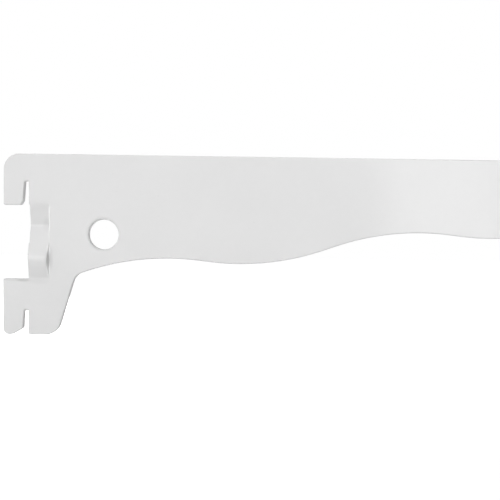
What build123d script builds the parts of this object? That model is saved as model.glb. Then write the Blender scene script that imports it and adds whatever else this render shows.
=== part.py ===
from build123d import *
from math import radians, tan
import os

# A wall-rail shelf bracket pressed from one piece of flat sheet steel.
# Frame in millimetres: the origin is on the shelf edge, in the plane of the rail face, at mid-thickness.
# +X points from the rail to the nose, +Z is up, and the strip's lower crest stands out on the -Y side.
# Depths are measured down from the shelf edge.

# Sheet
sheet = 3.0
edge_round = 0.4            # rolled and coated edge of the cut sheet
punch_round = 0.5           # corner radius inside the punched slots
tip_round = 0.6             # small corners of the hooks
corner_round = 6.0          # large outer corners of the blank

# Arm
arm_length = 230.0          # rail face to nose
hook_reach = 9.75           # rail face to the back of the hooks
foot_depth = 70.0

# Hooks, one rail pitch apart
slot_pitch = 50.0
slot_top = 10.6
slot_width = 1.7            # takes a rail wall of 1.5 mm
slot_flare = 3.5            # degrees that a hook's inner wall opens downwards
upper_hook_tip = 19.8
upper_chamfer = (1.0, 1.7)  # width and height of the lead-in chamfer on the upper hook
lower_hook_top = 48.3
lower_hook_round = 2.2      # back corner of the lower hook
lower_point_x = 6.05        # where the lower hook's bottom starts to slope up
lower_point_rise = 2.4
lower_point_round = 3.0

# Foot
foot_lean = 16.8            # degrees that the foot's front edge leans from upright
foot_front = 11.1           # where that edge would meet the foot's bottom line
foot_toe_round = 0.8
bend_depth = 46.7
bend_round = 5.0

# Wavy lower edge: its humps and bellies are arcs of one radius, and each period repeats the one before it,
# moved on by the pitch and up by the rise
wave_pitch = 97.6
wave_rise = 11.2
wave_round = 99.0
wave_periods = 2
hump_x, hump_depth = 43.8, 37.5
belly_x, belly_depth = 91.7, 43.75
nose_round = 9.0

# Cross hole
hole_x, hole_depth, hole_radius = 29.0, 30.8, 5.8

# Pressed strip along the rail face, an S in section, that centres the bracket in the rail's slot.
# Its middle line turns at four corners, each given by its depth and by how far it leaves the plate.
strip_width = 7.65          # rail face to the shear line
strip_top = 19.2
crease_depth, crease_press = 27.45, 1.8
crest_depth, crest_press = 41.0, 1.7
strip_low = 47.6
strip_rounds = [16.5, 3.2, 9.0, 4.5]
strip_ends = (17.1, 49.0)   # depths between which the strip is a body of its own
sheared = (19.6, 46.5)      # depths between which it is sheared off the plate
strip_inset = 0.3           # how far its upper half stands back from the rail face
strip_lap = 0.35            # how far its side runs past the shear line, into the plate
side_lean = 27.0            # degrees that its side leans over where it stands out of the plate
roll_over = 0.8             # rounded edge that the press leaves on the plate along the shear line
clear_of_face = 1.0         # how far cuts run past the rail face
cut_reach = 6.0             # how far cuts reach on each side of the plate's middle


def slot_corners(top):
    """Corners of a rail slot with its top at that depth: the hook's side, then the rail face's side."""
    return [(-slot_width, -top, punch_round), (0, -top, punch_round)]


def hook_wall(depth, top):
    """X of a hook's flared inner wall at that depth, for the slot with that top."""
    return -slot_width - (depth - top) * tan(radians(slot_flare))


def upper_hook():
    """Corners of the upper hook, from the shelf edge down and round its tip to the slot."""
    chamfer_width, chamfer_height = upper_chamfer
    chamfer_top = upper_hook_tip - chamfer_height
    inner = hook_wall(chamfer_top, slot_top)
    return [
        (-hook_reach, 0, corner_round),
        (-hook_reach, -upper_hook_tip, tip_round),
        (inner - chamfer_width, -upper_hook_tip, tip_round),
        (inner, -chamfer_top, tip_round),
    ]


def lower_hook():
    """Corners of the lower hook, from the rail face round its sloping point to the slot."""
    mouth = foot_depth - lower_point_rise
    return [
        (0, -lower_hook_top, punch_round),
        (-hook_reach, -lower_hook_top, tip_round),
        (-hook_reach, -foot_depth, lower_hook_round),
        (-lower_point_x, -foot_depth, lower_point_round),
        (hook_wall(mouth, slot_top + slot_pitch), -mouth, tip_round),
    ]


def foot():
    """Corners of the foot below the rail face, up to the bend where the arm starts."""
    bend_x = foot_front + (foot_depth - bend_depth) * tan(radians(foot_lean))
    return [
        (0, -foot_depth, foot_toe_round),
        (foot_front, -foot_depth, corner_round),
        (bend_x, -bend_depth, bend_round),
    ]


def wave():
    """Corners of the wavy edge before rounding: a hump and a belly for each period."""
    corners = []
    for period in range(wave_periods):
        run, rise = period * wave_pitch, period * wave_rise
        corners.append((hump_x + run, rise - hump_depth, wave_round))
        corners.append((belly_x + run, rise - belly_depth, wave_round))
    return corners


def nose():
    """Corners of the plain nose, which cuts off the wave's last ramp."""
    ramp_slope = (wave_rise + belly_depth - hump_depth) / (hump_x + wave_pitch - belly_x)
    last_belly_x, last_belly_z, _ = wave()[-1]
    return [
        (arm_length, last_belly_z + ramp_slope * (arm_length - last_belly_x), nose_round),
        (arm_length, 0, corner_round),
    ]


def blank():
    """The flat plate with its cross hole and every cut edge rounded."""
    corners = upper_hook() + slot_corners(slot_top)
    corners += lower_hook() + slot_corners(slot_top + slot_pitch)
    corners += foot() + wave() + nose()
    outline = FilletPolyline(
        [(x, z) for x, z, _ in corners], radius=[r for _, _, r in corners], close=True
    )
    hole = Pos(hole_x, -hole_depth) * Circle(hole_radius)
    profile = Plane.XZ * (make_face(outline) - hole)
    plate = extrude(profile, amount=sheet / 2, both=True)
    return fillet(plate.faces().filter_by(Axis.Y).edges(), edge_round)


def block(x_low, x_high, depth_top, depth_low):
    """A block through the sheet between two X values and two depths."""
    centre = Pos((x_low + x_high) / 2, 0, -(depth_top + depth_low) / 2)
    return centre * Box(x_high - x_low, 2 * cut_reach, depth_low - depth_top)


def crossing_depth():
    """Depth at which the strip passes through the plate's plane."""
    return crease_depth + (crest_depth - crease_depth) * crease_press / (crease_press + crest_press)


def roll_plate(plate, side, depth_top, depth_low):
    """Cut the window between two depths, and roll the plate's edge there on one face (side -1 or +1)."""
    plate -= block(-clear_of_face, strip_width, depth_top, depth_low)
    middle = Vector(strip_width, side * sheet / 2, -(depth_top + depth_low) / 2)
    edge = plate.edges().filter_by(Axis.Z).sort_by_distance(middle)[0]
    return fillet(edge, roll_over)


def cut_window(plate):
    """Open the plate where the strip goes, with its sheared edge rolled on the side the strip leaves."""
    top, low = strip_ends
    shear_top, shear_low = sheared
    plate = roll_plate(plate, -1, shear_top, crossing_depth())
    plate = roll_plate(plate, 1, crossing_depth(), shear_low)
    plate -= block(-clear_of_face, strip_width, top, shear_top)
    plate -= block(-clear_of_face, strip_width, shear_low, lower_hook_top)
    # Below the lower hook's top the cut stays inside the plate
    return plate - block(punch_round, strip_width, lower_hook_top, low)


def strip_section():
    """Section of the strip, a sheet's thickness round its S-shaped middle line."""
    top, low = strip_ends
    middle_line = FilletPolyline(
        (0, -top),
        (0, -strip_top),
        (crease_press, -crease_depth),
        (-crest_press, -crest_depth),
        (0, -strip_low),
        (0, -low),
        radius=strip_rounds,
    )
    front = make_face(offset(middle_line, amount=sheet / 2, side=Side.LEFT))
    back = make_face(offset(middle_line, amount=sheet / 2, side=Side.RIGHT))
    return front + back


def strip_bar(inset):
    """The whole strip, set back from the rail face, with the long edges of its free side rounded."""
    bar = Pos(inset, 0, 0) * extrude(Plane.YZ * strip_section(), amount=strip_width + strip_lap - inset)
    free_side = bar.faces().sort_by(Axis.X)[0]
    flat_ends = free_side.edges().filter_by(Axis.Y)
    return fillet([edge for edge in free_side.edges() if edge not in flat_ends], edge_round)


def between(bar, depth_top, depth_low):
    """The stretch of a bar between two depths."""
    return bar & block(-clear_of_face, strip_width + clear_of_face, depth_top, depth_low)


def side_taper(side):
    """A wedge that takes the strip's side off at a slant, where it stands out on one face of the plate."""
    foot_x, foot_y, far_y = strip_width + strip_lap, sheet / 2, cut_reach
    wedge = Polyline(
        (foot_x, side * foot_y),
        (foot_x - (far_y - foot_y) * tan(radians(side_lean)), side * far_y),
        (foot_x, side * far_y),
        close=True,
    )
    _, low = strip_ends
    return extrude(make_face(wedge), amount=-low)


def pressed_strip():
    """The strip: two ends, and a sheared length that leaves the plate to the back, then to the front."""
    top, low = strip_ends
    shear_top, shear_low = sheared
    end_bar = strip_bar(0)
    upper = between(strip_bar(strip_inset), shear_top, crossing_depth()) - side_taper(1)
    lower = between(end_bar, crossing_depth(), shear_low) - side_taper(-1)
    return between(end_bar, top, shear_top) + upper + lower + between(end_bar, shear_low, low)


def bracket():
    """The whole bracket as one solid."""
    return cut_window(blank()) + pressed_strip()


os.makedirs("parts", exist_ok=True)
plate = bracket()
plate.label = "bracket_plate"
export_step(plate, "parts/bracket_plate.step")
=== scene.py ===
import bpy
from math import cos, pi, radians, sin
from mathutils import Matrix, Vector

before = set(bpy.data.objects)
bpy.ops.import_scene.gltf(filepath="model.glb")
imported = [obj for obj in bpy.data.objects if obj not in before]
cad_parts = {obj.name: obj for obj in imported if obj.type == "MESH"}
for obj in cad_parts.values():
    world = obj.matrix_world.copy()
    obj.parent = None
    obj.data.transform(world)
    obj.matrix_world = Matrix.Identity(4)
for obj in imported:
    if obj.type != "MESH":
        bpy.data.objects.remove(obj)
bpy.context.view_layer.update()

# The bracket's own frame: the origin is on the shelf edge above the rail face, at mid-thickness.
# +X points to the nose, +Z is up, and the front is at -Y. Lengths are in metres, and those in
# millimetres say so.
MM = 0.001

# White powder coat
COAT_TONE = (0.788, 0.806)          # share of white, from its broad unevenness
FINE_TONE = 0.004                   # fine unevenness, either way
COAT_ROUGHNESS = (0.115, 0.138)
COAT_SPECULAR = 0.3
RELIEF_UNIT = 0.01                  # millimetres

HOLE_CENTRE = (29.0, 0.0, -30.8)    # millimetres

# Small marks, and the rail slots whose cut faces get painted shade. Each spot has its centre and
# its half size, in millimetres.
SPECKS = [
    ((32.4, -1.5, -7.3), (0.45, 1.0, 0.4)),
    ((33.7, -1.5, -14.1), (0.5, 1.0, 0.4)),
    ((50.0, -1.5, -15.5), (0.4, 1.0, 0.4)),
    ((50.1, -1.5, -23.4), (0.5, 1.0, 0.45)),
    ((87.1, -1.5, -25.3), (0.55, 1.0, 0.4)),
]
NICK = [((2.3, -1.0, 0.0), (0.7, 1.2, 0.5))]
RAIL_SLOTS = [
    ((-1.9, 0.0, -15.0), (1.7, 8.0, 14.0)),
    ((-2.1, 0.0, -64.5), (1.7, 8.0, 14.0)),
]

# Painted shade and painted light: each spot is darker by the share given first, and lighter where
# that share is below 0.
PAINTED_LIGHT_AND_SHADE = {
    "strip's sheared side": (0.16, [
        ((7.5, -2.2, -40.4), (1.3, 2.4, 4.4)),
        ((7.5, 2.2, -27.4), (1.3, 2.4, 4.4)),
    ]),
    # Painted light at the two ends of the shear line
    "painted light at the ends of the shear line": (-0.14, [
        ((7.8, -1.8, -36.9), (0.9, 1.2, 3.0)),
        ((7.8, -1.8, -45.0), (0.9, 1.2, 3.4)),
    ]),
    "plate beside the strip": (0.11, [((8.5, -1.5, -40.4), (1.5, 0.8, 6.4))]),
    "inner corner at the crease": (0.07, [((7.1, 0.3, -27.2), (2.6, 1.5, 5.6))]),
    "crease line": (-0.025, [((2.0, 0.3, -27.6), (6.0, 1.5, 0.75))]),
    "crest line": (-0.045, [((3.2, -3.0, -39.9), (8.0, 1.5, 1.1))]),
    "strip's slopes": (-0.018, [
        ((3.8, -0.3, -24.0), (6.0, 3.0, 4.0)),
        ((3.8, -1.4, -34.0), (6.0, 3.0, 5.0)),
        ((3.8, -2.5, -44.2), (6.0, 2.5, 3.6)),
    ]),
    "below the strip's end": (0.045, [((3.6, -1.5, -49.2), (6.0, 1.0, 1.8))]),
    "root of the foot": (0.027, [((10.0, 0.0, -50.0), (20.0, 9.0, 15.0))]),
    "lower hook's top": (0.08, [((-5.0, -1.4, -48.8), (8.0, 1.2, 0.8))]),
    "lower hook's inner corner": (0.16, [((-1.9, -1.4, -48.9), (3.4, 1.2, 0.9))]),
    "top of the lower slot": (0.18, [((-0.8, -1.4, -60.3), (1.4, 0.9, 0.6))]),
}

# Softboxes: width, height and radiance, then the azimuth to the camera's right, the elevation and
# the distance from which they face the plate
SOFTBOXES = {
    "low_left": (1.6, 0.8, 5.27, -75, -5, 2.5),
    "high_front": (1.5, 1.0, 4.32, -10, 60, 2.5),
    "overhead": (2.0, 1.5, 0.50, 0, 88, 2.0),
    "wide_front": (3.6, 0.9, 2.26, -8, 17, 3.0),
    "front": (1.9, 1.0, 2.12, -5, -1, 3.0),
    "right": (1.5, 1.2, 0.40, 75, 15, 2.5),
    "behind": (3.2, 0.7, 9.0, -153, 1, 3.0),
}
PLATE_MIDDLE = (0.0858, 0.0, -0.03)
RIGHT_PANEL = (0.57, 1.4, 5.50)     # width, height and radiance
RIGHT_PANEL_PLACE = (0.995, -3.0, 0.10)
RIGHT_PANEL_LEAN = 8.0              # degrees that its upright edges lean

FLOOR_SIZE = 14.0
FLOOR_PLACE = (0.1, 0.0, -0.35)
FLOOR_LIFT = (0.60, 1.0)            # near the bracket and far from it
ROOM_GREY = 0.05

CAMERA_PLACE = (0.08576, -0.2865, -0.02662)
CAMERA_DOWN, CAMERA_ROLL = 1.878, 0.820     # degrees
CAMERA_LENS, CAMERA_SENSOR = 53.049, 36.0   # millimetres


# Shader helpers

def feed(tree, value, socket):
    """Link a socket to that input, or set the input to a plain value."""
    if isinstance(value, bpy.types.NodeSocket):
        tree.links.new(value, socket)
    else:
        socket.default_value = value


def node(tree, kind, inputs=None, **properties):
    """A new shader node, with its inputs by name or number."""
    made = tree.nodes.new("ShaderNode" + kind)
    for name, value in properties.items():
        setattr(made, name, value)
    for name, value in (inputs or {}).items():
        feed(tree, value, made.inputs[name])
    return made


def reckon(tree, operation, first, second=0.0):
    """The result of a Math node."""
    return node(tree, "Math", {0: first, 1: second}, operation=operation).outputs["Value"]


def times(tree, first, *others):
    """The values multiplied."""
    for other in others:
        first = reckon(tree, "MULTIPLY", first, other)
    return first


def sum_of(tree, values):
    """The values added up."""
    total = values[0]
    for value in values[1:]:
        total = reckon(tree, "ADD", total, value)
    return total


def vector(tree, operation, *inputs):
    """A Vector Math node with those inputs."""
    return node(tree, "VectorMath", dict(enumerate(inputs)), operation=operation)


def remap(tree, value, start, end, low, high, smooth=True):
    """Low up to the start, high from the end on, and a ramp between."""
    inputs = {"Value": value, "From Min": start, "From Max": end, "To Min": low, "To Max": high}
    kind = "SMOOTHSTEP" if smooth else "LINEAR"
    return node(tree, "MapRange", inputs, interpolation_type=kind).outputs["Result"]


def rising(tree, value, start, end):
    """A mask that rises from 0 to 1 between two places in millimetres."""
    return remap(tree, value, start * MM, end * MM, 0.0, 1.0)


def falling(tree, value, start, end):
    """A mask that falls from 1 to 0 between two places in millimetres."""
    return remap(tree, value, start * MM, end * MM, 1.0, 0.0)


def noise(tree, place, scale, detail=1.0):
    """Even, soft noise from 0 to 1. The scale is in waves to the metre."""
    inputs = {"Vector": place, "Scale": scale, "Detail": detail}
    return node(tree, "TexNoise", inputs).outputs["Fac"]


def in_metres(sizes):
    """A place or size in millimetres, as metres."""
    return tuple(size * MM for size in sizes)


def new_material(name):
    """An empty material, with its node tree and its output node."""
    material = bpy.data.materials.new(name)
    material.use_nodes = True
    tree = material.node_tree
    tree.nodes.clear()
    return material, tree, tree.nodes.new("ShaderNodeOutputMaterial")


# White powder coat

def spot_of_marks_and_painted_light_group():
    """A soft-edged spot of its own place and size, as a mask."""
    group = bpy.data.node_groups.new("spot_of_marks_and_painted_light", "ShaderNodeTree")
    for name in ("Position", "Centre", "Half Size"):
        group.interface.new_socket(name, in_out="INPUT", socket_type="NodeSocketVector")
    group.interface.new_socket("Mask", in_out="OUTPUT", socket_type="NodeSocketFloat")
    given = group.nodes.new("NodeGroupInput").outputs
    result = group.nodes.new("NodeGroupOutput").inputs
    away = vector(group, "SUBTRACT", given["Position"], given["Centre"]).outputs[0]
    scaled = vector(group, "DIVIDE", away, given["Half Size"]).outputs[0]
    reach = vector(group, "LENGTH", scaled).outputs["Value"]
    group.links.new(remap(group, reach, 0.2, 1.0, 1.0, 0.0), result["Mask"])
    return group


def spots(tree, group, place, rows):
    """The masks of those spots added up."""
    masks = []
    for centre, half_size in rows:
        made = tree.nodes.new("ShaderNodeGroup")
        made.node_tree = group
        tree.links.new(place, made.inputs["Position"])
        made.inputs["Centre"].default_value = in_metres(centre)
        made.inputs["Half Size"].default_value = in_metres(half_size)
        masks.append(made.outputs["Mask"])
    return sum_of(tree, masks)


def sheared_side(tree, at, normal):
    """Mask of the strip's sheared side, which faces the nose where it stands off the plate."""
    return times(
        tree,
        remap(tree, normal["X"], 0.2, 0.6, 0.0, 1.0),
        rising(tree, at["X"], 5.9, 6.5),
        falling(tree, at["X"], 8.1, 8.4),
        rising(tree, at["Z"], -48.0, -46.0),
        falling(tree, at["Z"], -20.5, -19.0),
    )


def from_hole_axis(tree, place):
    """Distance from the cross hole's axis."""
    from_centre = vector(tree, "SUBTRACT", place, in_metres(HOLE_CENTRE)).outputs[0]
    across = vector(tree, "MULTIPLY", from_centre, (1.0, 0.0, 1.0)).outputs[0]
    return vector(tree, "LENGTH", across).outputs["Value"]


def powder_coat():
    """Satin white powder coat: orange peel, small marks, and painted shade and painted light in
    its corners, cuts and creases.
    """
    material, tree, output = new_material("white_powder_coat")
    coords = tree.nodes.new("ShaderNodeTexCoord").outputs
    place = coords["Object"]
    normal = node(tree, "SeparateXYZ", {"Vector": coords["Normal"]}).outputs
    at = node(tree, "SeparateXYZ", {"Vector": place}).outputs
    group = spot_of_marks_and_painted_light_group()

    # Cut faces run through the sheet, so their normals have hardly any Y
    cut_face = remap(tree, reckon(tree, "ABSOLUTE", normal["Y"]), 0.15, 0.6, 1.0, 0.0)
    sheared = sheared_side(tree, at, normal)
    radius = from_hole_axis(tree, place)
    # Painted shade on the cut faces inside the cross hole and the rail slots
    hole_wall_shade = times(tree, cut_face, falling(tree, radius, 5.9, 6.3))
    slot_wall_shade = times(tree, cut_face, spots(tree, group, place, RAIL_SLOTS))
    # The punch drew the sheet in round the hole. This ring also carries painted shade, strongest
    # at its lower rim.
    drawn_in_and_rim_shade = falling(tree, radius, 5.8, 6.9)
    lower_rim_shade = times(tree, drawn_in_and_rim_shade, falling(tree, at["Z"], -36.5, -33.0))
    # Painted shade towards the rail side
    rail_side_shade = falling(tree, at["X"], -4.0, 4.0)
    specks = spots(tree, group, place, SPECKS)
    nick = spots(tree, group, place, NICK)

    # Colour: broad and fine unevenness, darker at the specks and the nick, with painted shade and
    # painted light
    broad = remap(tree, noise(tree, place, 30.0, 2.0), 0.3, 0.7, *COAT_TONE, smooth=False)
    fine = remap(tree, noise(tree, place, 420.0), 0.2, 0.8, -FINE_TONE, FINE_TONE, smooth=False)
    marks_and_shade = [
        times(tree, hole_wall_shade, 0.10),
        times(tree, slot_wall_shade, 0.20),
        times(tree, drawn_in_and_rim_shade, 0.03),
        times(tree, lower_rim_shade, 0.12),
        times(tree, rail_side_shade, 0.011),
        times(tree, specks, 0.04),
        times(tree, nick, 0.12),
    ]
    # Painted shade and painted light at the places in the table above
    for share, rows in PAINTED_LIGHT_AND_SHADE.values():
        marks_and_shade.append(times(tree, spots(tree, group, place, rows), share))
    kept_after_marks_and_shade = reckon(tree, "SUBTRACT", 1.0, sum_of(tree, marks_and_shade))
    tone = times(tree, sum_of(tree, [broad, fine]), kept_after_marks_and_shade)
    colour = node(tree, "CombineColor", {"Red": tone, "Green": tone, "Blue": tone})

    # Gloss: a little uneven, and duller on the cut and sheared faces
    dull = sum_of(tree, [
        remap(tree, noise(tree, place, 55.0, 2.0), 0.3, 0.7, *COAT_ROUGHNESS, smooth=False),
        times(tree, cut_face, 0.14),
        times(tree, sheared, 0.15),
        times(tree, specks, 0.15),
    ])

    # Relief: orange peel, grain, and shear lines that run through the sheet on the cut faces
    through_sheet = vector(tree, "MULTIPLY", place, (1.0, 0.12, 1.0)).outputs[0]
    relief = sum_of(tree, [
        times(tree, noise(tree, place, 150.0), 1.2),
        times(tree, noise(tree, place, 650.0), 1.5),
        times(tree, noise(tree, place, 3200.0), 0.3),
        times(tree, noise(tree, through_sheet, 2600.0, 2.0), cut_face, 1.2),
        times(tree, specks, 0.8),
        times(tree, nick, -6.0),
        times(tree, drawn_in_and_rim_shade, -14.0),
    ])
    bump = node(tree, "Bump", {
        "Strength": 1.0,
        "Distance": RELIEF_UNIT * MM,
        "Height": relief,
    })

    surface = node(tree, "BsdfPrincipled", {
        "Base Color": colour.outputs["Color"],
        "Roughness": dull,
        "Specular IOR Level": COAT_SPECULAR,
        "Normal": bump.outputs["Normal"],
    })
    tree.links.new(surface.outputs["BSDF"], output.inputs["Surface"])
    return material


# Stage

def pick_for_eye(tree, otherwise, seen, output):
    """Mix in the seen shader for rays from the camera and for mirrored and refracted ones."""
    path = tree.nodes.new("ShaderNodeLightPath").outputs
    mirrored = reckon(tree, "MAXIMUM", path["Is Camera Ray"], path["Is Glossy Ray"])
    to_eye = reckon(tree, "MAXIMUM", mirrored, path["Is Transmission Ray"])
    pick = node(tree, "MixShader", {"Fac": to_eye, 1: otherwise, 2: seen})
    tree.links.new(pick.outputs["Shader"], output.inputs["Surface"])


def pale_floor():
    """A pale floor well below the bracket."""
    bpy.ops.mesh.primitive_plane_add(size=FLOOR_SIZE, location=FLOOR_PLACE)
    floor = bpy.context.object
    floor.name = "floor"
    material, tree, output = new_material("floor_white")
    matt = node(tree, "BsdfDiffuse", {"Color": (0.8, 0.8, 0.8, 1.0)}).outputs["BSDF"]
    # The lamps' light falls off outwards, and the floor stays white there
    coords = tree.nodes.new("ShaderNodeTexCoord").outputs
    outwards = vector(tree, "LENGTH", coords["Object"]).outputs["Value"]
    level = remap(tree, outwards, 0.3, 3.0, *FLOOR_LIFT, smooth=False)
    lift = node(tree, "Emission", {"Strength": level}).outputs["Emission"]
    lifted = node(tree, "AddShader", {0: matt, 1: lift}).outputs["Shader"]
    pick_for_eye(tree, matt, lifted, output)
    floor.data.materials.append(material)


def surroundings():
    """White where it is seen or mirrored, and a faint grey light from all round."""
    world = bpy.data.worlds.new("soft_room")
    bpy.context.scene.world = world
    world.use_nodes = True
    tree = world.node_tree
    tree.nodes.clear()
    output = tree.nodes.new("ShaderNodeOutputWorld")
    room = node(tree, "Background", {"Color": (ROOM_GREY, ROOM_GREY, ROOM_GREY, 1.0)})
    white = node(tree, "Background", {"Color": (1.0, 1.0, 1.0, 1.0)})
    pick_for_eye(tree, room.outputs["Background"], white.outputs["Background"], output)


def softbox(name, width, height, radiance, place):
    """A rectangular lamp of that radiance, shining along the -Z of its placing matrix."""
    lamp = bpy.data.lights.new(name, "AREA")
    lamp.shape = "RECTANGLE"
    lamp.size, lamp.size_y = width, height
    lamp.energy = radiance * pi * width * height
    holder = bpy.data.objects.new(name, lamp)
    bpy.context.scene.collection.objects.link(holder)
    holder.matrix_world = place
    return holder


def facing_plate(azimuth, elevation, distance):
    """A placing that faces the middle of the plate."""
    a, e = radians(azimuth), radians(elevation)
    away = Vector((sin(a) * cos(e), -cos(a) * cos(e), sin(e)))
    turn = (-away).to_track_quat("-Z", "Y").to_matrix().to_4x4()
    return Matrix.Translation(Vector(PLATE_MIDDLE) + away * distance) @ turn


def studio_lamps():
    """Softboxes round the bracket, at a plain level."""
    placed = {}
    for name, (width, height, radiance, *seat) in SOFTBOXES.items():
        placed[name] = softbox(name, width, height, radiance, facing_plate(*seat))
    # The rolled edges mirror the white room behind the bracket, and not this lamp
    placed["behind"].visible_glossy = False
    # The right half of the plate mirrors this one
    upright = Matrix.Rotation(radians(90.0), 4, "X")
    leaning = upright @ Matrix.Rotation(radians(RIGHT_PANEL_LEAN), 4, "Z")
    softbox("right_panel", *RIGHT_PANEL, Matrix.Translation(RIGHT_PANEL_PLACE) @ leaning)


# Camera

def photograph_camera():
    """The photograph's viewpoint."""
    camera = bpy.data.cameras.new("camera")
    camera.sensor_width = CAMERA_SENSOR
    camera.lens = CAMERA_LENS
    camera.clip_start, camera.clip_end = 0.01, 50.0
    holder = bpy.data.objects.new("camera", camera)
    bpy.context.scene.collection.objects.link(holder)
    holder.matrix_world = (
        Matrix.Translation(CAMERA_PLACE)
        @ Matrix.Rotation(radians(90.0 - CAMERA_DOWN), 4, "X")
        @ Matrix.Rotation(radians(CAMERA_ROLL), 4, "Z")
    )
    bpy.context.scene.camera = holder


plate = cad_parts["bracket_plate"]
plate.data.materials.clear()
plate.data.materials.append(powder_coat())

pale_floor()
surroundings()
studio_lamps()
photograph_camera()
bpy.context.scene.view_settings.view_transform = "Standard"
